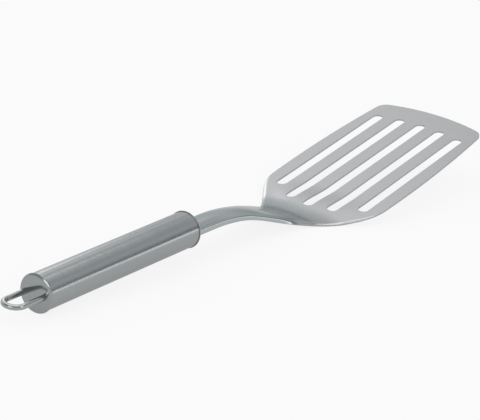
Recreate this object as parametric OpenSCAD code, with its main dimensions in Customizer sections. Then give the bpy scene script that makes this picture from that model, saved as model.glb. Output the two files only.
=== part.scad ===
// Fish spatula: a slotted blade and its channel-shaped neck are one piece of
// stamped steel sheet. The neck runs into a round hollow handle that is
// closed by a pressed cap at each end, with a wire loop for hanging.
// Stations are distances in front of the heel line, where the neck meets
// the shoulders; heights are above the flat top of the blade. The whole is
// then tipped to stand on a table as it would be laid down.

/* [Sheet] */
// Thickness of the sheet that the blade and neck are stamped from
sheet_t = 1.2; // [1:0.1:1.4]

/* [Blade] */
// Width of the blade at its widest
blade_w = 80.4; // [76:0.2:86]
// Station of the widest place
side_mid = 82; // [75:1:95]
// Radius of the bowed sides
side_r = 950; // [800:10:1400]
// Station of the middle of the front edge
front_edge = 171.8; // [165:0.2:185]
// Radius of the arched front edge
front_r = 110; // [100:1:150]
// Radius of the two front corners
corner_r = 8; // [5:0.5:12]

/* [Slots] */
// Width of each slot
slot_w = 6.5; // [5:0.1:7.5]
// Distance between the centre lines of neighbouring slots
slot_pitch = 14.35; // [13.5:0.05:14.8]
// Number of slots
slot_count = 5; // [3:2:5]
// Station of the heel end of the middle slot
slot_heel = 24.7; // [24:0.1:34]
// Forward step of a slot's heel end, times the square of its place from the middle
slot_heel_step = 3.7; // [2.5:0.01:3.8]
// Metal left between the slots' front ends and the front edge
slot_front_land = 16.5; // [12:0.1:22]

/* [Shoulders] */
// Widening of the shoulders for each millimetre forward
shoulder_slope = 0.64; // [0.6:0.01:0.7]
// Station where the shoulders leave the neck
shoulder_start = 8; // [6:0.5:9]
// Half of the length over which each shoulder turns into the blade's side
shoulder_blend = 9.6; // [6:0.1:10]

/* [Neck outline] */
// Half width of the neck where it enters the handle
neck_half = 7.1; // [6:0.1:7.4]
// Widening of each side for each millimetre, beside the handle
neck_taper = 0.022; // [0.018:0.002:0.03]
// Station where the neck starts to flare
flare_start = -40; // [-45:1:-35]
// Widening of each side for each millimetre, along the flare
flare_slope = 0.19; // [0.17:0.01:0.21]
// Station where the flare opens further, towards the shoulders
root_start = -2; // [-5:0.5:0]
// Widening of each side for each millimetre, at the root
root_slope = 0.39; // [0.35:0.01:0.42]

/* [Neck side view] */
// Station where the heel bend has run out into the flat blade
heel_end = 25.5; // [22:0.5:28]
// Radius of the heel bend
heel_r = 45; // [40:1:50]
// Slope of the neck's straight ramp
ramp_angle = 27.5; // [26:0.5:29]
// Length of the straight ramp
ramp_l = 36.4; // [32:0.2:37]
// Radius of the crest, where the neck levels off towards the handle
crest_r = 153; // [145:1:160]
// Slope of the handle above the blade's plane
handle_angle = 9.25; // [8:0.05:10]
// Straight stretch of neck between the crest and the handle's front cap
neck_straight = 15.5; // [13:0.5:18]
// Height of the neck's top edges above the handle's axis
neck_lift = 1.5; // [0.8:0.1:1.8]

/* [Channel section] */
// Angle of the turned-down flanges along the neck
flange_angle = 84; // [78:1:86]
// Outer radius of the fold between the neck's top and its flanges
fold_r = 2.2; // [1.8:0.1:2.6]
// Straight part of the flanges at the handle
flange_l_rear = 2; // [1.8:0.1:2.6]
// Straight part of the flanges where they run out at the shoulders
flange_l = 1.5; // [1:0.1:1.6]
// Angle of the rolled-down edge round the shoulders
lip_angle = 26; // [8:1:30]
// Outer radius of that rolled edge
lip_r = 6.5; // [6:0.5:9]
// Rise of the neck's crowned top above its edges
neck_crown = 0.9; // [0.3:0.1:0.9]
// Rise of the ridge that fades out between the shoulders
heel_crown = 1.7; // [0.8:0.1:2.2]
// Half width of that ridge
heel_crown_half = 38; // [30:1:42]

/* [Handle] */
// Outer diameter of the handle
handle_d = 20; // [18:0.5:22]
// Length of the handle with both caps
handle_l = 123.4; // [110:0.2:140]
// Wall of the handle tube
tube_wall = 0.8; // [0.6:0.1:1]
// Length of the tang, the part of the neck inside the handle
tang_l = 16; // [10:1:22]

/* [Caps] */
// Thickness of the sheet that the caps are pressed from
cap_t = 1; // [0.8:0.1:1.2]
// Height of a cap's rim above the tube
rim_rise = 0.45; // [0.4:0.05:1]
// Width of the rim along the handle
rim_w = 1.5; // [1.3:0.1:3]
// Rounding of the rim's outer corner
rim_r = 0.8; // [0.6:0.1:1]
// Rounding of the rim's corner beside the tube
rim_seat_r = 0.4; // [0.2:0.1:0.6]
// Bulge of a cap's face
cap_bulge = 0.7; // [0.4:0.1:1]
// Depth of a cap's skirt inside the tube
cap_skirt = 6; // [5:0.5:9]
// Gap round the skirt, and round what passes through a cap
cap_gap = 0.03; // [0.02:0.01:0.05]

/* [Hanging loop] */
// Diameter of the loop's wire
wire_d = 3; // [2.5:0.1:3.2]
// Radius of the loop's round end, to the middle of the wire
loop_r = 5.7; // [5.2:0.1:6.4]
// Reach of the loop behind the handle
loop_reach = 22; // [18:0.1:28]
// Length of each leg inside the handle
leg_inside = 5; // [4:0.5:8]

/* [Hidden] */

steel_satin = [0.71, 0.72, 0.72];
steel_brushed = [0.55, 0.57, 0.57];
steel_polished = [0.66, 0.67, 0.68];

// Rises from 0 to 1 between u = 0 and u = 1, level at both ends
function ease(u) = u <= 0 ? 0 : u >= 1 ? 1 : u * u * (3 - 2 * u);
// 0 before the corner and u after it, rounded over b on each side
function soft_ramp(u, b) = u < -b ? 0 : u > b ? u : (u + b) * (u + b) / (4 * b);
// Point [x, z] at [u, v] from p, where u runs along a line that falls by angle a
function along(p, a, u, v) = [p[0] + u * cos(a) + v * sin(a), p[1] - u * sin(a) + v * cos(a)];

// Blade outline: the front corners' fillets touch the side arc and the front arc
side_y = blade_w / 2 - side_r;
front_x = front_edge - front_r;
function side_half(x) = side_y + sqrt(side_r * side_r - (x - side_mid) * (x - side_mid));
fillet_side = side_r - corner_r;
fillet_front = front_r - corner_r;
arc_gap = norm([side_mid - front_x, side_y]);
arc_turn = atan2(side_y, side_mid - front_x);
fillet_turn = acos((fillet_front * fillet_front + arc_gap * arc_gap - fillet_side * fillet_side)
    / (2 * fillet_front * arc_gap));
fillet = [front_x + fillet_front * cos(arc_turn + fillet_turn), fillet_front * sin(arc_turn + fillet_turn)];
fillet_to_side = fillet + corner_r * (fillet - [side_mid, side_y]) / fillet_side;
fillet_to_front = fillet + corner_r * (fillet - [front_x, 0]) / fillet_front;

// Stamped stretch: rings of points across the sheet, from the tang to the flat blade
join_x = 54;
ridge_start = 0;
ridge_end = 54;
crown_end = 30;
flange_fade = [-20, 18];
lip_fade = [28, 54];
taper_from = -89;
join_half = side_half(join_x);
join_slope = (side_mid - join_x) / side_r;
flare_half = neck_half + neck_taper * (flare_start - taper_from);
root_half = flare_half + flare_slope * (root_start - flare_start);
shoulder_half = root_half + root_slope * (shoulder_start - root_start);
shoulder_end = (join_half - join_slope * join_x - shoulder_half + shoulder_slope * shoulder_start)
    / (shoulder_slope - join_slope);

function outline_half(x) = neck_half + neck_taper * (x - taper_from)
    + (flare_slope - neck_taper) * soft_ramp(x - flare_start, 7)
    + (root_slope - flare_slope) * soft_ramp(x - root_start, 5)
    + (shoulder_slope - root_slope) * soft_ramp(x - shoulder_start, 1.5)
    - (shoulder_slope - join_slope) * soft_ramp(x - shoulder_end, shoulder_blend);
function fold_angle(x) = (flange_angle - lip_angle) * flange_left(x)
    + lip_angle * (1 - ease((x - lip_fade[0]) / (lip_fade[1] - lip_fade[0])));
function flange_left(x) = 1 - ease((x - flange_fade[0]) / (flange_fade[1] - flange_fade[0]));
function fold_radius(x) = lip_r + (fold_r - lip_r) * flange_left(x);
function flange_straight(x) = flange_l * flange_left(x)
    + (flange_l_rear - flange_l) * (1 - ease((x - taper_from) / 60));
function ridge(x) = heel_crown * pow(sin(180 * min(1, max(0, (x - ridge_start) / (ridge_end - ridge_start)))), 2);
function crown(x) = neck_crown * (1 - ease(x / crown_end));

// Side view of the top edges, as [x, z, slope], built backwards from the flat blade
ramp_foot = [heel_end - heel_r * sin(ramp_angle), heel_r * (1 - cos(ramp_angle))];
ramp_top = along(ramp_foot, ramp_angle, -ramp_l, 0);
crest_centre = along(ramp_top, ramp_angle, 0, -crest_r);
crest_top = along(crest_centre, handle_angle, 0, crest_r);
cap_front = along(crest_top, handle_angle, -neck_straight, 0);
tang_end = along(crest_top, handle_angle, -neck_straight - tang_l, 0);
crest_steps = 8;
ramp_steps = 12;
heel_steps = 12;
flat_steps = 18;
stations = concat(
    [[tang_end[0], tang_end[1], handle_angle]],
    [for (i = [0:crest_steps]) let (a = handle_angle + (ramp_angle - handle_angle) * i / crest_steps)
        concat(along(crest_centre, a, 0, crest_r), [a])],
    [for (i = [1:ramp_steps]) concat(ramp_top + (ramp_foot - ramp_top) * i / ramp_steps, [ramp_angle])],
    [for (i = [1:heel_steps]) let (a = ramp_angle * (1 - i / heel_steps))
        [heel_end - heel_r * sin(a), heel_r * (1 - cos(a)), a]],
    [for (i = [1:flat_steps]) [heel_end + (join_x - heel_end) * i / flat_steps, 0, 0]]);

// One side of a section's outer line, as [y, height, fold angle] from the middle outwards
top_steps = 9;
fold_steps = 4;
function half_section(x, grow) = let (
        a = fold_angle(x),
        r = fold_radius(x) + grow,
        l = flange_straight(x) + grow,
        top_half = outline_half(x) + grow - r * sin(a) - l * cos(a),
        ridge_half = min(heel_crown_half, top_half))
    concat(
        [for (i = [0:top_steps]) let (y = top_half * i / top_steps, q = y / top_half,
            h = min(1, y / ridge_half))
            [y, grow + crown(x) * (1 - q * q) + ridge(x) * pow(1 - h * h, 2), 0]],
        [for (i = [1:fold_steps]) let (b = a * i / fold_steps)
            [top_half + r * sin(b), grow - r * (1 - cos(b)), b]],
        [[outline_half(x) + grow, grow - r * (1 - cos(a)) - l * sin(a), a]]);
// Closed section, as [y, height]: the outer line, then the inner line one sheet below it
function section(x, grow = 0) = let (
        half = half_section(x, grow),
        n = len(half),
        outer = [for (i = [1 - n:n - 1]) let (p = half[abs(i)]) [sign(i) * p[0], p[1], sign(i) * p[2]]],
        t = sheet_t + 2 * grow)
    concat(
        [for (p = outer) [p[0], p[1]]],
        [for (i = [len(outer) - 1:-1:0]) let (p = outer[i]) [p[0] - t * sin(p[2]), p[1] - t * cos(p[2])]]);
function ring(s) = [for (p = section(s[0])) let (q = along([s[0], s[1]], s[2], 0, p[1])) [q[0], p[0], q[1]]];

// Handle axis, and the pose in which the heel and the handle's rear rim touch the table
axis_front = along(cap_front, handle_angle, 0, -neck_lift);
axis_rear = along(axis_front, handle_angle, -handle_l, 0);
rim_low = along(axis_rear, handle_angle, rim_r, -handle_d / 2 - rim_rise);
heel_low = [for (s = stations) let (low = min([for (p = section(s[0])) p[1]]))
    if (s[0] > ramp_foot[0] - ramp_l / 2) along([s[0], s[1]], s[2], 0, low)];
rest_angle = max([for (p = heel_low) atan2(rim_low[1] - p[1], p[0] - rim_low[0])]);
function rest(p) = along([0, 0], -rest_angle, p[0], p[1]);
loop_end = rest(along(axis_rear, handle_angle, -loop_reach, 0));
tip = rest([front_edge, -sheet_t]);
rest_drop = rest(rim_low)[1];
rest_back = (loop_end[0] + tip[0]) / 2;

module laid_down() translate([-rest_back, 0, -rest_drop]) rotate([0, -rest_angle, 0]) children();
// Places something drawn along +Z, from the handle's rear face towards the blade
module on_handle() translate([axis_rear[0], 0, axis_rear[1]]) rotate([0, 90 + handle_angle, 0]) children();

module stamped_stretch() {
    rings = [for (s = stations) ring(s)];
    n = len(rings[0]);
    last = len(rings) - 1;
    half = n / 2;
    skin = [for (i = [0:last - 1], j = [0:n - 1]) let (
            a = i * n + j,
            b = i * n + (j + 1) % n)
        each [[a, b, b + n], [a, b + n, a + n]]];
    rear = [for (j = [0:half - 2]) each [[j, n - 1 - j, n - 2 - j], [j, n - 2 - j, j + 1]]];
    front = [for (t = rear) [for (k = [2:-1:0]) last * n + t[k]]];
    polyhedron([for (r = rings) each r], concat(skin, rear, front), convexity = 6);
}

module blade_outline() {
    outside = [front_edge + 1, blade_w / 2 + 1];
    difference() {
        intersection() {
            translate([join_x, -blade_w]) square([front_edge, 2 * blade_w]);
            translate([front_x, 0]) circle(front_r, $fn = 720);
            translate([side_mid, side_y]) circle(side_r, $fn = 3600);
            translate([side_mid, -side_y]) circle(side_r, $fn = 3600);
        }
        for (side = [0, 1]) mirror([0, side]) difference() {
            polygon([fillet, fillet_to_front, [outside[0], fillet_to_front[1]], outside,
                [fillet_to_side[0], outside[1]], fillet_to_side]);
            translate(fillet) circle(corner_r, $fn = 96);
        }
    }
}

module slots() {
    middle = (slot_count - 1) / 2;
    for (i = [-middle:middle]) {
        y = i * slot_pitch;
        rear = slot_heel + slot_heel_step * i * i + slot_w / 2;
        front = front_x + sqrt(front_r * front_r - y * y) - slot_front_land - slot_w / 2;
        translate([0, y, -10]) linear_extrude(20) {
            translate([rear, -slot_w / 2]) square([front - rear, slot_w]);
            for (x = [rear, front]) translate([x, 0]) circle(slot_w / 2, $fn = 48);
        }
    }
}

module blade() {
    color(steel_satin) laid_down() difference() {
        union() {
            stamped_stretch();
            translate([0, 0, -sheet_t]) linear_extrude(sheet_t) blade_outline();
        }
        slots();
    }
}

module handle_tube() {
    color(steel_brushed) laid_down() on_handle() translate([0, 0, rim_w]) difference() {
        cylinder(h = handle_l - 2 * rim_w, d = handle_d, $fn = 96);
        translate([0, 0, -1]) cylinder(h = handle_l, d = handle_d - 2 * tube_wall, $fn = 96);
    }
}

// Half of a rim's outline: rounded wide at the face and a little beside the tube
module rim_profile() {
    rim = handle_d / 2 + rim_rise;
    square([rim - rim_r, rim_w]);
    translate([rim - rim_r, rim_r]) circle(rim_r, $fn = 64);
    translate([rim - rim_r, rim_r]) square([rim_r, rim_w - rim_r - rim_seat_r]);
    translate([rim - rim_r, rim_w - rim_seat_r]) square([rim_r - rim_seat_r, rim_seat_r]);
    translate([rim - rim_seat_r, rim_w - rim_seat_r]) circle(rim_seat_r, $fn = 48);
}

// A pressed cap that opens towards +Z: its face is below Z = 0 and its rim ends at rim_w
module cap_cup() {
    skirt = handle_d / 2 - tube_wall - cap_gap;
    face = handle_d / 2 + rim_rise - rim_r;
    bulge_r = (face * face + cap_bulge * cap_bulge) / (2 * cap_bulge);
    rotate_extrude($fn = 96) difference() {
        union() {
            rim_profile();
            translate([0, rim_w]) square([skirt, cap_skirt]);
            intersection() {
                translate([0, bulge_r - cap_bulge]) circle(bulge_r, $fn = 720);
                translate([0, -cap_bulge]) square([face, cap_bulge]);
            }
        }
        translate([0, cap_t]) square([skirt - cap_t, cap_skirt + rim_w]);
        translate([-face, -cap_bulge]) square([face, 2 * handle_d]);
    }
}

module front_cap() {
    opening = section(tang_end[0], cap_gap);
    color(steel_polished) laid_down() on_handle() difference() {
        translate([0, 0, handle_l]) mirror([0, 0, 1]) cap_cup();
        translate([0, 0, handle_l - cap_skirt]) linear_extrude(2 * cap_skirt)
            polygon([for (p = opening) [-p[1] - neck_lift, p[0]]]);
    }
}

module rear_cap() {
    color(steel_polished) laid_down() on_handle() difference() {
        cap_cup();
        for (side = [-1, 1]) translate([0, side * loop_r, -2])
            cylinder(h = 2 * cap_skirt, d = wire_d + 2 * cap_gap, $fn = 32);
    }
}

module hanging_loop() {
    round_z = loop_r + wire_d / 2 - loop_reach;
    color(steel_polished) laid_down() on_handle() union() {
        for (side = [-1, 1]) translate([0, side * loop_r, round_z])
            cylinder(h = leg_inside + cap_t - round_z, d = wire_d, $fn = 32);
        translate([0, 0, round_z]) rotate([90, 0, 90]) rotate([0, 0, 180])
            rotate_extrude(angle = 180, $fn = 96) translate([loop_r, 0]) circle(d = wire_d, $fn = 32);
    }
}

blade();
handle_tube();
front_cap();
rear_cap();
hanging_loop();
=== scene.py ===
import math

import bmesh
import bpy
from mathutils import Matrix, Vector


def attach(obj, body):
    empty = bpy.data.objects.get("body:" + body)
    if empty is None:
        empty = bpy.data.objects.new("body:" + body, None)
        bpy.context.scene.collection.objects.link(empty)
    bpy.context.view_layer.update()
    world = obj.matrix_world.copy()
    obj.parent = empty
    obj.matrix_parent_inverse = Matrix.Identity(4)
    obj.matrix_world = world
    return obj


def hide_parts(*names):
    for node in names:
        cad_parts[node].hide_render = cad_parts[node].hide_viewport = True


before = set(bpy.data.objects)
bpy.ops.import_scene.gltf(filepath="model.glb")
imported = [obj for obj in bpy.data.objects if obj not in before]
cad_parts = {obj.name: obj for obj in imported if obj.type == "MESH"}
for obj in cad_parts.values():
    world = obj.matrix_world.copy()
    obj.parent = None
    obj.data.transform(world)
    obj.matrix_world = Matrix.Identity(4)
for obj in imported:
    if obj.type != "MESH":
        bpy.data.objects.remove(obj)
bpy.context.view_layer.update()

# Camera: it looks down along the spatula from behind the handle, as the photograph does,
# with a long lens. Its place and axes come from a fit to the outlines of blade and handle.
eye = Vector((-0.93625, -0.59768, 0.40109))
eye_forward = Vector((0.79367, 0.51140, -0.32948))
eye_up = Vector((0.20579, 0.28397, 0.93649))
eye_right = eye_forward.cross(eye_up)
camera = bpy.data.objects.new("camera", bpy.data.cameras.new("camera"))
camera.matrix_world = Matrix.LocRotScale(
    eye, Matrix((eye_right, eye_up, -eye_forward)).transposed().to_quaternion(), None
)
camera.data.sensor_width = 36
camera.data.lens = 158.4
bpy.context.scene.collection.objects.link(camera)
bpy.context.scene.camera = camera
bpy.context.scene.view_settings.view_transform = "Standard"


# Studio: a wide white table in an evenly white room, one large soft box overhead, and small
# ones that draw the bright lines. The grey cards round the table give the steel its darker
# bands, and only the metal sees them, so the picture is plain from every side.
def add_node(material, kind, inputs=None, **settings):
    """Adds a shader node, sets its settings, and fills or joins its inputs."""
    made = material.node_tree.nodes.new("ShaderNode" + kind)
    for name, value in settings.items():
        setattr(made, name, value)
    for name, value in (inputs or {}).items():
        if isinstance(value, bpy.types.NodeSocket):
            material.node_tree.links.new(value, made.inputs[name])
        else:
            made.inputs[name].default_value = value
    return made


def bare_material(name):
    """A material with no nodes yet."""
    material = bpy.data.materials.new(name)
    material.use_nodes = True
    material.node_tree.nodes.clear()
    return material


def seen_by(material, *rays):
    """1 for the named kinds of ray and 0 for the others."""
    path = add_node(material, "LightPath")
    seen = path.outputs[rays[0]]
    for ray in rays[1:]:
        inputs = {0: seen, 1: path.outputs[ray]}
        seen = add_node(material, "Math", inputs, operation="MAXIMUM").outputs[0]
    return seen


def stage_panel(name, corners, faces, material):
    """A panel of the studio, which isn't part of the spatula."""
    mesh = bpy.data.meshes.new(name)
    mesh.from_pydata(corners, [], faces)
    mesh.materials.append(material)
    panel = bpy.data.objects.new(name, mesh)
    bpy.context.scene.collection.objects.link(panel)
    return panel


room_light = 0.9
world = bpy.data.worlds.new("white room")
bpy.context.scene.world = world
world.use_nodes = True
world.node_tree.nodes.clear()
room = add_node(world, "Background", {"Color": (1, 1, 1, 1), "Strength": room_light})
open_white = add_node(world, "Background", {"Color": (1, 1, 1, 1), "Strength": 1.0})
looked_at = seen_by(world, "Is Camera Ray", "Is Transmission Ray", "Is Glossy Ray")
room_mix = add_node(
    world, "MixShader", {0: looked_at, 1: room.outputs[0], 2: open_white.outputs[0]}
)
add_node(world, "OutputWorld", {"Surface": room_mix.outputs[0]})

table_half = 12
table_colour = (0.69, 0.70, 0.70)
# Share of plain white over the lit paper, for the camera and for the metal, and how bright
# that white is for the metal
white_for_camera, white_for_metal, metal_sees = 0.85, 0.7, 0.76
table_paper = bare_material("table_paper")
paper = add_node(table_paper, "BsdfDiffuse", {"Color": (*table_colour, 1)})
for_metal = seen_by(table_paper, "Is Glossy Ray")
strength = add_node(
    table_paper, "MapRange", {"Value": for_metal, "To Min": 1, "To Max": metal_sees}
)
paper_white = add_node(
    table_paper, "Emission", {"Color": (1, 1, 1, 1), "Strength": strength.outputs[0]}
)
straight_share = add_node(
    table_paper,
    "Math",
    {0: seen_by(table_paper, "Is Camera Ray", "Is Transmission Ray"), 1: white_for_camera},
    operation="MULTIPLY",
)
white_share = add_node(
    table_paper,
    "Math",
    {0: for_metal, 1: white_for_metal, 2: straight_share.outputs[0]},
    operation="MULTIPLY_ADD",
)
paper_mix = add_node(
    table_paper,
    "MixShader",
    {0: white_share.outputs[0], 1: paper.outputs[0], 2: paper_white.outputs[0]},
)
add_node(table_paper, "OutputMaterial", {"Surface": paper_mix.outputs[0]})
table_corners = [
    (x * table_half, y * table_half, 0) for x, y in ((-1, -1), (1, -1), (1, 1), (-1, 1))
]
stage_panel("table", table_corners, [(0, 1, 2, 3)], table_paper)


def soft_box(name, at, aim, size, watts):
    """A rectangular lamp that the camera doesn't see."""
    lamp = bpy.data.lights.new(name, "AREA")
    lamp.shape = "RECTANGLE"
    lamp.size, lamp.size_y = size
    lamp.energy = watts
    holder = bpy.data.objects.new(name, lamp)
    holder.location = at
    holder.rotation_mode = "QUATERNION"
    holder.rotation_quaternion = (Vector(aim) - Vector(at)).to_track_quat("-Z", "Y")
    holder.visible_camera = False
    bpy.context.scene.collection.objects.link(holder)


# In turn: soft light from overhead, the bright line along the handle, the loop's near side,
# the rolled edge at the shoulders, the rear cap's rim, and the far shoulder
soft_box("key", at=(-0.5, 0.6, 2.4), aim=(0, 0, 0), size=(2.6, 2.6), watts=8)
soft_box("low_strip", at=(0.55, -1.25, 0.14), aim=(-0.1, 0, 0.02), size=(1.8, 0.07), watts=0.42)
soft_box("side_box", at=(-0.1, -1.5, 0.85), aim=(0.05, 0, 0.02), size=(0.35, 0.6), watts=1)
soft_box("lip_lamp", at=(1.10, 0.10, 1.93), aim=(0.05, 0, 0.02), size=(0.2, 0.2), watts=0.6)
soft_box("cap_lamp", at=(-1.7, -0.05, 0.40), aim=(-0.18, 0, 0.01), size=(0.9, 0.4), watts=2.7)
soft_box("far_window", at=(0.80, 1.09, 0.72), aim=(0.03, 0, 0.02), size=(0.4, 0.4), watts=0.65)

card_tint = (1, 1.06, 1.09)
card_step = 2


def studio_card(name, azimuths, radius, foot, top, greys, fade_y=None, fade_grey=1):
    """A card on an arc about the object that only glossy rays see. Its greys, as (share of
    the height, grey) with the lowest and highest first, may run out to another grey along Y."""
    paint = bare_material(name)
    position = add_node(paint, "NewGeometry").outputs["Position"]
    place = add_node(paint, "SeparateXYZ", {0: position})
    rise = add_node(
        paint, "MapRange", {"Value": place.outputs["Z"], "From Min": foot, "From Max": top}
    )
    tone = add_node(paint, "ValToRGB", {"Fac": rise.outputs[0]})
    stops = tone.color_ramp.elements
    for i, (at, grey) in enumerate(greys):
        stop = stops[i] if i < 2 else stops.new(at)
        stop.position = at
        stop.color = (*(min(1, grey * tint) for tint in card_tint), 1)
    shade = tone.outputs[0]
    if fade_y:
        fade_from, fade_to = fade_y
        fade = add_node(
            paint,
            "MapRange",
            {"Value": place.outputs["Y"], "From Min": fade_from, "From Max": fade_to},
        )
        ends = {0: fade.outputs[0], 6: shade, 7: (fade_grey, fade_grey, fade_grey, 1)}
        shade = add_node(paint, "Mix", ends, data_type="RGBA").outputs[2]
    glow = add_node(paint, "Emission", {"Color": shade, "Strength": 1.0})
    add_node(paint, "OutputMaterial", {"Surface": glow.outputs[0]})
    arc = [math.radians(a) for a in range(*azimuths, card_step)]
    low = [(radius * math.cos(a), radius * math.sin(a), foot) for a in arc]
    high = [(x, y, top) for x, y, z in low]
    n = len(arc)
    card = stage_panel(
        name, low + high, [(i, i + 1, i + 1 + n, i + n) for i in range(n - 1)], paint
    )
    card.visible_camera = False
    card.visible_diffuse = False
    card.visible_shadow = False
    card.visible_transmission = False


studio_card(
    "near_card",
    azimuths=(-80, 31),
    radius=3.0,
    foot=0.44,
    top=3.5,
    greys=((0, 0.16), (1, 0.42), (0.14, 0.26), (0.24, 0.52), (0.42, 0.60), (0.62, 0.50)),
    fade_y=(0.5, 1.6),
    fade_grey=0.68,
)
studio_card(
    "far_card",
    azimuths=(12, 46),
    radius=3.2,
    foot=0.06,
    top=2.1,
    greys=((0, 0.62), (1, 1), (0.85, 0.70)),
)
studio_card(
    "back_card",
    azimuths=(110, 262),
    radius=1.8,
    foot=0.05,
    top=2.4,
    greys=((0, 0.45), (1, 0.45), (0.5, 0.35)),
)


# Blade and neck: one piece of stainless sheet, cut out with its five slots, pressed into an
# inverted channel along the neck, and finished satin. The neck is polished brighter than the
# blade, and its rear end, the tang, is welded inside the handle.
sheet_t = 1.2
side_mid, side_r = 82, 950
front_r, corner_r = 110, 8
# Sizes are in millimetres and angles in radians. Stations count forward from the heel line.
# These two are a hair inside the CAD's 80.4 and 171.8, so that nothing passes its box.
blade_w, front_edge = 80.396, 171.78
slot_w, slot_pitch, slot_count = 6.5, 14.35, 5
slot_heel, slot_heel_step, slot_front_land = 24.7, 3.7, 16.5
shoulder_slope, shoulder_start, shoulder_blend = 0.64, 8, 9.6
neck_half, neck_taper, taper_from = 7.1, 0.022, -89
flare_start, flare_slope, flare_blend = -40, 0.19, 7
root_start, root_slope, root_blend = -2, 0.39, 5
heel_line_blend = 1.5
heel_end, heel_r = 25.5, 45
ramp_angle, ramp_l = math.radians(27.5), 36.4
crest_r, handle_angle = 153, math.radians(9.25)
neck_straight, tang_l = 15.5, 16
flange_angle, lip_angle = math.radians(84), math.radians(26)
fold_r, lip_r = 2.2, 6.5
flange_l_rear, flange_l, flange_run_out = 2.0, 1.5, 60
flange_fade, lip_fade = (-20, 18), (28, 54)
neck_crown, crown_end = 0.9, 30
heel_crown, heel_crown_half = 1.7, 38
ridge_start, ridge_end = 0, 54
join_x = 54
# How the spatula lies on the table: tipped about the heel line, then moved back and down
rest_angle, rest_back, rest_drop = math.radians(11.9894), -36.0411, 2.54891


def ease(u):
    """Rises from 0 to 1 between u = 0 and u = 1, level at both ends."""
    u = min(1, max(0, u))
    return u * u * (3 - 2 * u)


def soft_ramp(u, b):
    """0 before the corner and u after it, rounded over b on each side."""
    return 0 if u < -b else u if u > b else (u + b) ** 2 / (4 * b)


def along(p, a, u, v):
    """Point u along and v above a line from p that falls by angle a."""
    return (
        p[0] + u * math.cos(a) + v * math.sin(a),
        p[1] - u * math.sin(a) + v * math.cos(a),
    )


def lay_down(p):
    """From the blade's own frame in millimetres to the table's in metres."""
    c, s = math.cos(rest_angle), math.sin(rest_angle)
    return (
        (p[0] * c - p[2] * s - rest_back) / 1000,
        p[1] / 1000,
        (p[0] * s + p[2] * c - rest_drop) / 1000,
    )


side_y = blade_w / 2 - side_r
front_x = front_edge - front_r


def side_half(x):
    """Half width between the two bowed sides."""
    return side_y + math.sqrt(side_r**2 - (x - side_mid) ** 2)


join_slope = (side_mid - join_x) / side_r
flare_half = neck_half + neck_taper * (flare_start - taper_from)
root_half = flare_half + flare_slope * (root_start - flare_start)
shoulder_half = root_half + root_slope * (shoulder_start - root_start)
shoulder_end = (
    side_half(join_x) - join_slope * join_x - shoulder_half + shoulder_slope * shoulder_start
) / (shoulder_slope - join_slope)

# The front corners' fillets touch the side arc and the front arc
fillet_side, fillet_front = side_r - corner_r, front_r - corner_r
arc_gap = math.hypot(side_mid - front_x, side_y)
arc_turn = math.atan2(side_y, side_mid - front_x)
fillet_turn = math.acos(
    (fillet_front**2 + arc_gap**2 - fillet_side**2) / (2 * fillet_front * arc_gap)
)
fillet = (
    front_x + fillet_front * math.cos(arc_turn + fillet_turn),
    fillet_front * math.sin(arc_turn + fillet_turn),
)
fillet_to_side = fillet[0] + corner_r * (fillet[0] - side_mid) / fillet_side
fillet_to_front = fillet[0] + corner_r * (fillet[0] - front_x) / fillet_front


def outline_half(x):
    """Half width of the stamping, seen square on, at station x."""
    if x >= fillet_to_front:
        return math.sqrt(max(0, front_r**2 - (x - front_x) ** 2))
    if x >= fillet_to_side:
        return fillet[1] + math.sqrt(max(0, corner_r**2 - (x - fillet[0]) ** 2))
    if x >= join_x:
        return side_half(x)
    return (
        neck_half
        + neck_taper * (x - taper_from)
        + (flare_slope - neck_taper) * soft_ramp(x - flare_start, flare_blend)
        + (root_slope - flare_slope) * soft_ramp(x - root_start, root_blend)
        + (shoulder_slope - root_slope) * soft_ramp(x - shoulder_start, heel_line_blend)
        - (shoulder_slope - join_slope) * soft_ramp(x - shoulder_end, shoulder_blend)
    )


def faded(x, fade):
    """1 before a stretch of stations and 0 after it."""
    return 1 - ease((x - fade[0]) / (fade[1] - fade[0]))


def fold_angle(x):
    """How far the sheet's edge is turned down at station x."""
    return (flange_angle - lip_angle) * faded(x, flange_fade) + lip_angle * faded(x, lip_fade)


top_steps, fold_steps = 24, 8
# Share of the half width that counts as the top where nothing is folded
flat_top = 0.98


def section(x, grow=0):
    """Closed section of the sheet at station x, as (y, height): outer line, then inner. It
    grows all round by grow."""
    turn = fold_angle(x)
    radius = lip_r + (fold_r - lip_r) * faded(x, flange_fade) + grow
    straight = flange_l * faded(x, flange_fade) + grow
    straight += (flange_l_rear - flange_l) * faded(x, (taper_from, taper_from + flange_run_out))
    edge = outline_half(x) + grow
    if x < join_x:
        top_half = edge - radius * math.sin(turn) - straight * math.cos(turn)
        drop = radius * (1 - math.cos(turn)) + straight * math.sin(turn)
    else:
        top_half, drop = outline_half(x) * flat_top, 0
    crown = neck_crown * (1 - ease(x / crown_end))
    along_ridge = min(1, max(0, (x - ridge_start) / (ridge_end - ridge_start)))
    ridge = heel_crown * math.sin(math.pi * along_ridge) ** 2
    half = []
    for i in range(top_steps + 1):
        q = i / top_steps
        h = min(1, q * top_half / min(heel_crown_half, top_half))
        half.append((q * top_half, crown * (1 - q * q) + ridge * (1 - h * h) ** 2, 0))
    for i in range(1, fold_steps + 1):
        b = turn * i / fold_steps
        if x < join_x:
            half.append((top_half + radius * math.sin(b), -radius * (1 - math.cos(b)), b))
        else:
            half.append((top_half + (edge - top_half) * i / (fold_steps + 1), 0, 0))
    half.append((edge, -drop, turn))
    outer = [(-y, h + grow, -b) for y, h, b in half[:0:-1]]
    outer += [(y, h + grow, b) for y, h, b in half]
    thick = sheet_t + 2 * grow
    inner = [(y - thick * math.sin(b), h - thick * math.cos(b)) for y, h, b in outer]
    return [(y, h) for y, h, b in outer] + inner[::-1]


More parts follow.
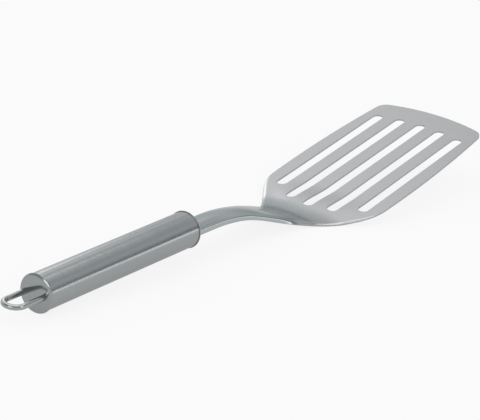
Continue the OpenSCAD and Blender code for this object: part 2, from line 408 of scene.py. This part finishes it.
def steps(start, end, count):
    """Evenly spaced values after start, the last of them at the end."""
    return [start + (end - start) * i / count for i in range(1, count + 1)]


# Side view of the neck's top edges, as (x, z, slope), from the tang's end to the front edge
tang_steps, bend_steps, heel_steps = 20, 30, 36
side_steps, corner_steps, front_steps = 30, 16, 40
# The front arc ends in a straight 3 mm wide, which is too short to see
nose_half = 1.5
ramp_foot = (heel_end - heel_r * math.sin(ramp_angle), heel_r * (1 - math.cos(ramp_angle)))
ramp_top = along(ramp_foot, ramp_angle, -ramp_l, 0)
crest_centre = along(ramp_top, ramp_angle, 0, -crest_r)
crest_top = along(crest_centre, handle_angle, 0, crest_r)
tang_end = -neck_straight - tang_l
stations = [
    (*along(crest_top, handle_angle, u, 0), handle_angle)
    for u in [tang_end] + steps(tang_end, 0, tang_steps)
]
for a in steps(handle_angle, ramp_angle, bend_steps):
    stations.append((*along(crest_centre, a, 0, crest_r), a))
for u in steps(0, ramp_l, bend_steps):
    stations.append((*along(ramp_top, ramp_angle, u, 0), ramp_angle))
for a in steps(ramp_angle, 0, bend_steps):
    stations.append((heel_end - heel_r * math.sin(a), heel_r * (1 - math.cos(a)), a))
for x in steps(heel_end, join_x, heel_steps) + steps(join_x, fillet_to_side, side_steps):
    stations.append((x, 0, 0))
side_turn = math.asin((fillet_to_side - fillet[0]) / corner_r)
front_turn = math.asin((fillet_to_front - fillet[0]) / corner_r)
for a in steps(side_turn, front_turn, corner_steps):
    stations.append((fillet[0] + corner_r * math.sin(a), 0, 0))
for y in steps(outline_half(fillet_to_front), nose_half, front_steps):
    stations.append((front_x + math.sqrt(front_r**2 - y * y), 0, 0))

# The skin runs from section to section, and a strip of quads closes each end
points, faces = [], []
for x, z, a in stations:
    for y, h in section(x):
        q = along((x, z), a, 0, h)
        points.append(lay_down((q[0], y, q[1])))
ring = len(points) // len(stations)
for i in range(len(stations) - 1):
    for j in range(ring):
        k = (j + 1) % ring
        faces.append((i * ring + j, i * ring + k, (i + 1) * ring + k, (i + 1) * ring + j))
for i, flip in ((0, False), (len(stations) - 1, True)):
    for j in range(ring // 2 - 1):
        quad = (j, ring - 1 - j, ring - 2 - j, j + 1)
        faces.append(tuple(i * ring + q for q in (quad[::-1] if flip else quad)))


def close_up(mesh, gap):
    """Joins points closer than the gap, drops what has no area and turns faces outwards."""
    shell = bmesh.new()
    shell.from_mesh(mesh)
    bmesh.ops.remove_doubles(shell, verts=shell.verts, dist=gap)
    bmesh.ops.dissolve_degenerate(shell, dist=gap / 2, edges=shell.edges)
    bmesh.ops.recalc_face_normals(shell, faces=shell.faces)
    shell.to_mesh(mesh)
    shell.free()


def solid(name, points, faces):
    """A closed mesh object from points and faces."""
    mesh = bpy.data.meshes.new(name)
    mesh.from_pydata(points, [], faces)
    close_up(mesh, gap=2e-6)
    made = bpy.data.objects.new(name, mesh)
    bpy.context.scene.collection.objects.link(made)
    return made


def prism(loop, low, high):
    """Points and faces of a straight solid between two copies of a closed line."""
    n = len(loop)
    points = [low(q) for q in loop] + [high(q) for q in loop]
    faces = [tuple(range(n))[::-1], tuple(range(n, 2 * n))]
    faces += [(k, (k + 1) % n, n + (k + 1) % n, n + k) for k in range(n)]
    return points, faces


def slot(i):
    """One slot: a straight solid with round ends, from below the sheet to above it."""
    below, above, end_steps = -5, 6, 48
    y = i * slot_pitch
    rear = slot_heel + slot_heel_step * i * i + slot_w / 2
    front = front_x + math.sqrt(front_r**2 - y * y) - slot_front_land - slot_w / 2
    loop = []
    for at, quarter_turn in ((rear, math.pi / 2), (front, -math.pi / 2)):
        for k in range(end_steps + 1):
            a = quarter_turn + math.pi * k / end_steps
            loop.append((at + slot_w / 2 * math.cos(a), y + slot_w / 2 * math.sin(a)))
    return prism(loop, lambda q: lay_down((*q, below)), lambda q: lay_down((*q, above)))


def punch(piece, cutters, smooth_below):
    """Cuts the cutters out of a piece, and shades it smooth but for its sharp edges."""
    points, faces = [], []
    for more_points, more_faces in cutters:
        faces += [tuple(len(points) + v for v in face) for face in more_faces]
        points += more_points
    tool = solid(piece.name + "_punch", points, faces)
    cut = piece.modifiers.new("cut", "BOOLEAN")
    cut.operation = "DIFFERENCE"
    cut.solver = "MANIFOLD"
    cut.object = tool
    bpy.context.view_layer.update()
    cut_mesh = bpy.data.meshes.new_from_object(
        piece.evaluated_get(bpy.context.evaluated_depsgraph_get())
    )
    piece.modifiers.clear()
    piece.data = cut_mesh
    cut_mesh.materials.clear()
    close_up(cut_mesh, gap=4e-6)
    bpy.data.objects.remove(tool)
    cut_mesh.polygons.foreach_set("use_smooth", [True] * len(cut_mesh.polygons))
    cut_mesh.set_sharp_from_angle(angle=smooth_below)


blade = solid("stamped_blade", points, faces)
middle = (slot_count - 1) // 2
punch(blade, [slot(i - middle) for i in range(slot_count)], smooth_below=math.radians(40))


def bare_steel(name, low_angle_tint=0.8):
    """A material with one metal shader, and where a point is on the object. Steel seen at a
    low angle stays a little darker than a mirror would, which the tint gives."""
    material = bare_material(name)
    tint = (low_angle_tint, low_angle_tint, low_angle_tint, 1)
    metal = add_node(material, "BsdfPrincipled", {"Metallic": 1.0, "Specular Tint": tint})
    add_node(material, "OutputMaterial", {"Surface": metal.outputs[0]})
    return material, metal, add_node(material, "TexCoord").outputs["Object"]


def mottle(material, where, scale, detail=3):
    """An uneven pattern between 0 and 1. A scale of three numbers draws it out into grain."""
    if not isinstance(scale, tuple):
        scale = (scale, scale, scale)
    spread = add_node(material, "VectorMath", {0: where, 1: scale}, operation="MULTIPLY")
    inputs = {"Vector": spread.outputs[0], "Scale": 1.0, "Detail": detail, "Roughness": 0.6}
    return add_node(material, "TexNoise", inputs).outputs[0]


def ranged(material, value, low, high, to_low, to_high):
    """Takes the range from low to high over to another range, and stops at its ends."""
    ends = {"From Min": low, "From Max": high, "To Min": to_low, "To Max": to_high}
    return add_node(material, "MapRange", {"Value": value, **ends}).outputs[0]


def summed(material, *values):
    total = values[0]
    for value in values[1:]:
        total = add_node(material, "Math", {0: total, 1: value}, operation="ADD").outputs[0]
    return total


def blended(material, share, first, second):
    """Colour between two colours. A colour is three numbers, or comes from a node."""
    sides = [c if isinstance(c, bpy.types.NodeSocket) else (*c, 1) for c in (first, second)]
    ends = {0: share, 6: sides[0], 7: sides[1]}
    return add_node(material, "Mix", ends, data_type="RGBA").outputs[2]


# Most of a pattern's values lie between these two
mostly = (0.3, 0.7)


def finish(material, metal, grain, depth, edge_r, worn, colour, roughness):
    """Joins colour and roughness to the metal, puts the grain in as bump, rounds the sharp
    edges over, and gives the rounded part the brighter colour of a deburred edge."""
    rounded = add_node(material, "Bevel", {"Radius": edge_r}, samples=4).outputs[0]
    flat = add_node(material, "NewGeometry").outputs["Normal"]
    match = add_node(
        material, "VectorMath", {0: rounded, 1: flat}, operation="DOT_PRODUCT"
    ).outputs["Value"]
    on_edge = ranged(material, match, 0.995, 0.93, 0, 1)
    relief = add_node(
        material, "Bump", {"Height": grain, "Strength": 1.0, "Distance": depth, "Normal": rounded}
    )
    links = material.node_tree.links
    links.new(relief.outputs[0], metal.inputs["Normal"])
    links.new(blended(material, on_edge, colour, worn), metal.inputs["Base Color"])
    links.new(roughness, metal.inputs["Roughness"])


neck_steel, blade_steel = (0.50, 0.535, 0.535), (0.52, 0.523, 0.53)
cloud_grey, grain_grey, edge_grey = (0.40, 0.41, 0.42), (0.60, 0.60, 0.60), (0.68, 0.68, 0.68)
# Where the neck's polish goes over into the blade's satin, in metres on the table
satin_from, satin_to = 0.005, 0.07
satin_sheet, metal, spot = bare_steel("satin_sheet")
grain = mottle(satin_sheet, spot, (120, 1700, 1700), 4)
clouds = mottle(satin_sheet, spot, 26)
ahead = add_node(satin_sheet, "SeparateXYZ", {0: spot}).outputs["X"]
satin = ranged(satin_sheet, ahead, satin_from, satin_to, 0, 1)
rough = summed(
    satin_sheet,
    ranged(satin_sheet, satin, 0, 1, 0.13, 0.28),
    ranged(satin_sheet, grain, *mostly, -0.02, 0.03),
    ranged(satin_sheet, clouds, *mostly, -0.02, 0.02),
)
shade = blended(satin_sheet, satin, neck_steel, blade_steel)
shade = blended(satin_sheet, ranged(satin_sheet, clouds, *mostly, 0, 0.1), shade, cloud_grey)
shade = blended(satin_sheet, ranged(satin_sheet, grain, 0.35, 0.75, 0, 0.1), shade, grain_grey)
finish(
    satin_sheet,
    metal,
    grain,
    depth=0.0000025,
    edge_r=0.0004,
    worn=edge_grey,
    colour=shade,
    roughness=rough,
)
blade.data.materials.append(satin_sheet)
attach(blade, "root")
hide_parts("blade")


# Handle tube: a plain length of stainless tube, brushed round and round on its outside, so
# that it shines in long crisp lines. It is pushed over the skirts of its two caps.
tube_d, tube_wall, handle_l = 20, 0.8, 123.4
# Height of the neck's top edges above the handle's axis, and width of the caps' rims
neck_lift, rim_w = 1.5, 1.5
axis_front = along(crest_top, handle_angle, -neck_straight, -neck_lift)
axis_rear = along(axis_front, handle_angle, -handle_l, 0)


def on_handle(u, y, v):
    """From u along the handle, y across it and v above its axis, in millimetres."""
    q = along(axis_rear, handle_angle, u, v)
    return lay_down((q[0], y, q[1]))


def handle_millimetres(material, spot):
    """Node coordinates in millimetres: X along the handle from its rear, Y and Z across."""
    to_handle = {
        "Vector": spot,
        "Location": on_handle(0, 0, 0),
        "Rotation": (0, handle_angle - rest_angle, 0),
        "Scale": (0.001, 0.001, 0.001),
    }
    return add_node(material, "Mapping", to_handle, vector_type="TEXTURE").outputs[0]


dark_brushing, light_brushing = (0.405, 0.422, 0.427), (0.435, 0.45, 0.455)
# The dark grey here, with the width and share on the next line, is painted shade in the joints
# where the tube meets the caps' rims
tube_edge, tube_seam_shade = (0.5, 0.5, 0.5), (0.08, 0.08, 0.08)
seam_shade_w, seam_shade_share = 0.35, 0.6
brushed_tube, metal, spot = bare_steel("brushed_tube")
metal.inputs["Anisotropic"].default_value = 0.5
metal.inputs["Anisotropic Rotation"].default_value = 0.25
around = add_node(brushed_tube, "Tangent", direction_type="RADIAL", axis="X")
brushed_tube.node_tree.links.new(around.outputs[0], metal.inputs["Tangent"])
place = handle_millimetres(brushed_tube, spot)
brush = mottle(brushed_tube, place, (2.4, 0.09, 0.09), 4)
clouds = mottle(brushed_tube, place, 0.05)
along_tube = add_node(brushed_tube, "SeparateXYZ", {0: place}).outputs["X"]
rough = summed(
    brushed_tube,
    ranged(brushed_tube, brush, *mostly, 0.20, 0.26),
    ranged(brushed_tube, clouds, *mostly, -0.015, 0.015),
)
brushing = ranged(brushed_tube, brush, *mostly, 0, 1)
shade = blended(brushed_tube, brushing, dark_brushing, light_brushing)
tube_end = handle_l - rim_w
# Painted shade: the tube goes darker over its last 0.35 mm at each end, in the joints under the
# caps' rims
seam_shade = summed(
    brushed_tube,
    ranged(brushed_tube, along_tube, rim_w, rim_w + seam_shade_w, seam_shade_share, 0),
    ranged(brushed_tube, along_tube, tube_end - seam_shade_w, tube_end, 0, seam_shade_share),
)
shade = blended(brushed_tube, seam_shade, shade, tube_seam_shade)
finish(
    brushed_tube,
    metal,
    brush,
    depth=0.0000015,
    edge_r=0.0002,
    worn=tube_edge,
    colour=shade,
    roughness=rough,
)
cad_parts["handle_tube"].data.materials[0] = brushed_tube


# Caps: each is pressed from 1 mm sheet into a shallow cup with a domed face and a rounded
# rim, polished on a lathe, and pushed into the tube. The front one is cut open for the neck
# and the rear one has two holes for the wire.
cap_t, cap_skirt, cap_gap = 1, 6, 0.03
cap_bulge, dome_depth = 0.7, 1.8
rim_rise, rim_seat_r = 0.45, 0.4
wire_d, loop_r = 3, 5.7
cap_sides, dome_steps, seat_steps, hole_steps = 160, 48, 10, 48


def turned(name, line, start, direction):
    """A solid turned about the handle's axis. Its line is (radius, depth) from the face."""
    points, faces = [], []
    for k in range(cap_sides):
        a = 2 * math.pi * k / cap_sides
        for radius, depth in line:
            points.append(
                on_handle(start + direction * depth, radius * math.cos(a), radius * math.sin(a))
            )
    n = len(line)
    for k in range(cap_sides):
        m = (k + 1) % cap_sides
        for i in range(n - 1):
            faces.append((k * n + i, k * n + i + 1, m * n + i + 1, m * n + i))
    return solid(name, points, faces)


# The cap's line: domed face, rim with its rounded seat, skirt, and the inside back to the axis
rim_top = tube_d / 2 + rim_rise
skirt_r = tube_d / 2 - tube_wall - cap_gap
skirt_end = rim_w + cap_skirt
cap_line = []
for a in [math.pi / 2 * i / dome_steps for i in range(dome_steps + 1)]:
    cap_line.append((rim_top * math.sin(a), dome_depth * (1 - math.cos(a)) - cap_bulge))
for a in [math.pi / 2 * i / seat_steps for i in range(seat_steps + 1)]:
    cap_line.append(
        (rim_top - rim_seat_r * (1 - math.cos(a)), rim_w - rim_seat_r * (1 - math.sin(a)))
    )
cap_line += [(skirt_r, rim_w), (skirt_r, skirt_end)]
cap_line += [(skirt_r - cap_t, skirt_end), (skirt_r - cap_t, cap_t), (0, cap_t)]


def lathe_steel(name, seam_at, to_face):
    """Polished steel with the fine rings of a lathe, and painted shade where the rim meets the
    tube. to_face is the way from that joint to the cap's face, 1 or -1."""
    dark_ring, light_ring = (0.36, 0.38, 0.385), (0.41, 0.43, 0.435)
    # The dark grey, with the width and share on the next line, is painted shade for the joint
    # with the tube
    rim_edge, seam_shade_grey = (0.52, 0.52, 0.52), (0.07, 0.07, 0.07)
    seam_shade_w, seam_shade_share = 0.3, 0.5
    material, metal, spot = bare_steel(name)
    place = handle_millimetres(material, spot)
    across = add_node(
        material, "VectorMath", {0: place, 1: (0, 1, 1)}, operation="MULTIPLY"
    ).outputs[0]
    out = add_node(material, "VectorMath", {0: across}, operation="LENGTH").outputs["Value"]
    depth = add_node(material, "SeparateXYZ", {0: place}).outputs["X"]
    lines = add_node(material, "CombineXYZ", {"X": out, "Y": depth}).outputs[0]
    rings = mottle(material, lines, (2.2, 2.2, 1), 3)
    clouds = mottle(material, place, 0.12)
    rough = summed(
        material,
        ranged(material, rings, *mostly, 0.11, 0.17),
        ranged(material, clouds, *mostly, -0.02, 0.02),
    )
    shade = blended(material, ranged(material, rings, *mostly, 0, 1), dark_ring, light_ring)
    # Painted shade in the joint: the rim goes darker towards the tube
    seam_shade = ranged(material, depth, seam_at, seam_at + seam_shade_w * to_face, seam_shade_share, 0)
    shade = blended(material, seam_shade, shade, seam_shade_grey)
    finish(
        material,
        metal,
        rings,
        depth=0.000002,
        edge_r=0.0002,
        worn=rim_edge,
        colour=shade,
        roughness=rough,
    )
    return material


def through_cap(loop, at):
    """A straight cutter through the cap whose face is at that place along the handle."""
    reach = 3
    return prism(loop, lambda q: on_handle(at - reach, *q), lambda q: on_handle(at + reach, *q))


def leg_hole(side):
    """The outline of the round hole for one leg of the wire."""
    hole_r = wire_d / 2 + cap_gap
    turns = [2 * math.pi * k / hole_steps for k in range(hole_steps)]
    return [(side * loop_r + hole_r * math.cos(a), hole_r * math.sin(a)) for a in turns]


rear_cap = turned("rear_cap_cup", cap_line, start=0, direction=1)
leg_holes = [through_cap(leg_hole(side), 0) for side in (-1, 1)]
punch(rear_cap, leg_holes, smooth_below=math.radians(35))
rear_cap.data.materials.append(lathe_steel("turned_rear_cap", rim_w, to_face=-1))
front_cap = turned("front_cap_cup", cap_line, start=handle_l, direction=-1)
tang_x = stations[0][0]
neck_hole = [(y, h + neck_lift) for y, h in section(tang_x, grow=cap_gap)]
punch(front_cap, [through_cap(neck_hole, handle_l)], smooth_below=math.radians(35))
front_cap.data.materials.append(lathe_steel("turned_front_cap", handle_l - rim_w, to_face=1))
for piece, node in ((rear_cap, "rear_cap"), (front_cap, "front_cap")):
    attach(piece, "root")
    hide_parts(node)


# Hanging loop: 3 mm stainless wire, drawn, bent into a U and polished. Its two legs go
# through the rear cap's holes and are welded inside.
dark_draw, light_draw = (0.40, 0.415, 0.42), (0.47, 0.48, 0.48)
# The dark grey here, with the stretch and share on the next line, is painted shade on the wire
# where it goes into the rear cap's holes
wire_edge, hole_shade_grey = (0.5, 0.5, 0.5), (0.1, 0.1, 0.1)
hole_shade_from, hole_shade_to, hole_shade_share = -0.6, 0.1, 0.7
drawn_wire, metal, spot = bare_steel("drawn_wire")
place = handle_millimetres(drawn_wire, spot)
lines = mottle(drawn_wire, place, (0.25, 5, 5), 3)
clouds = mottle(drawn_wire, place, 0.3)
rough = summed(
    drawn_wire,
    ranged(drawn_wire, lines, *mostly, 0.09, 0.14),
    ranged(drawn_wire, clouds, *mostly, -0.02, 0.02),
)
shade = blended(drawn_wire, ranged(drawn_wire, lines, *mostly, 0, 1), dark_draw, light_draw)
along_wire = add_node(drawn_wire, "SeparateXYZ", {0: place}).outputs["X"]
# Painted shade: the wire goes darker just where it enters the cap's holes
hole_shade = ranged(drawn_wire, along_wire, hole_shade_from, hole_shade_to, 0, hole_shade_share)
shade = blended(drawn_wire, hole_shade, shade, hole_shade_grey)
finish(
    drawn_wire,
    metal,
    lines,
    depth=0.000001,
    edge_r=0.0002,
    worn=wire_edge,
    colour=shade,
    roughness=rough,
)
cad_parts["hanging_loop"].data.materials[0] = drawn_wire
